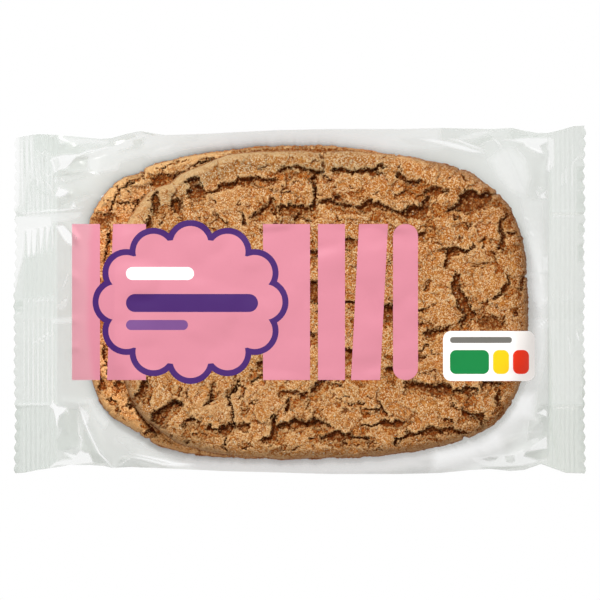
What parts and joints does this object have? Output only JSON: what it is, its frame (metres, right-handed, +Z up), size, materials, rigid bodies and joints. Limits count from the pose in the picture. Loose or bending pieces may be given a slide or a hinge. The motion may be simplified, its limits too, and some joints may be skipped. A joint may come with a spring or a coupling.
{
  "type": "film pack of speculoos cookies",
  "caption": "Clear film pack with crimped end seals, pillow-shaped around large oval speculoos cookies with a cracked surface, lying flat.",
  "frame": {"origin": "on the surface that the pack lies on, under the middle of its bounding box", "axes": "+X along the pack, from the seal on the left of the print to the one on its right; +Y towards the top of the print; +Z up, out of the printed front"},
  "size_m": [0.265, 0.158, 0.0322],
  "materials": {
    "clear_film": "clear glossy film over baked brown cookies"
  },
  "bodies": {
    "root": {"sealed_bag": "clear_film"}
  },
  "joints": []
}
